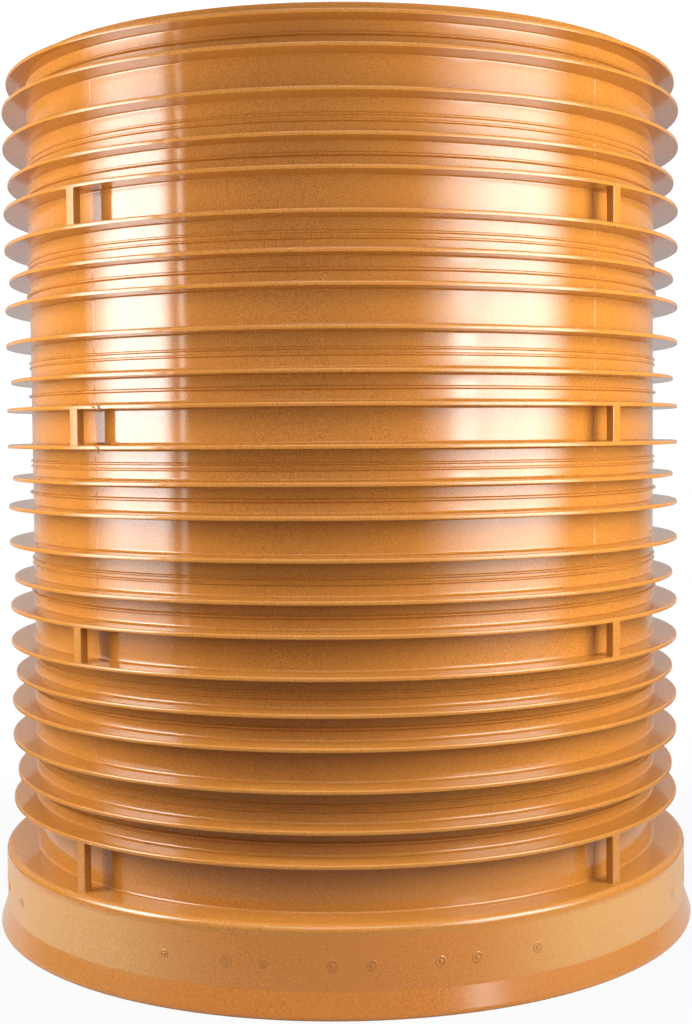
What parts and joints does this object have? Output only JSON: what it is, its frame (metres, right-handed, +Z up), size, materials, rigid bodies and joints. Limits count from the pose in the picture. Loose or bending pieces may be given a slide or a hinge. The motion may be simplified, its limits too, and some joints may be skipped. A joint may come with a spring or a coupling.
{
  "type": "corrugated manhole riser",
  "caption": "Round plastic manhole riser with stacked outer rings, small lashing eyes, a plain spigot lip on top and a flared socket at the bottom.",
  "frame": {"origin": "on the shaft's axis, in the plane of the socket's mouth, which is the face the riser stands on", "axes": "+Z up along the shaft's axis, from the socket towards the spigot lip; the bars of the lashing eyes stand at 45 degrees to X and Y, so -Y looks at the middle between two of them"},
  "size_m": [0.92, 0.92, 1.091],
  "materials": {
    "riser_plastic": "glossy moulded polypropylene, orange brown"
  },
  "bodies": {
    "root": {"riser_body": "riser_plastic"}
  },
  "joints": []
}
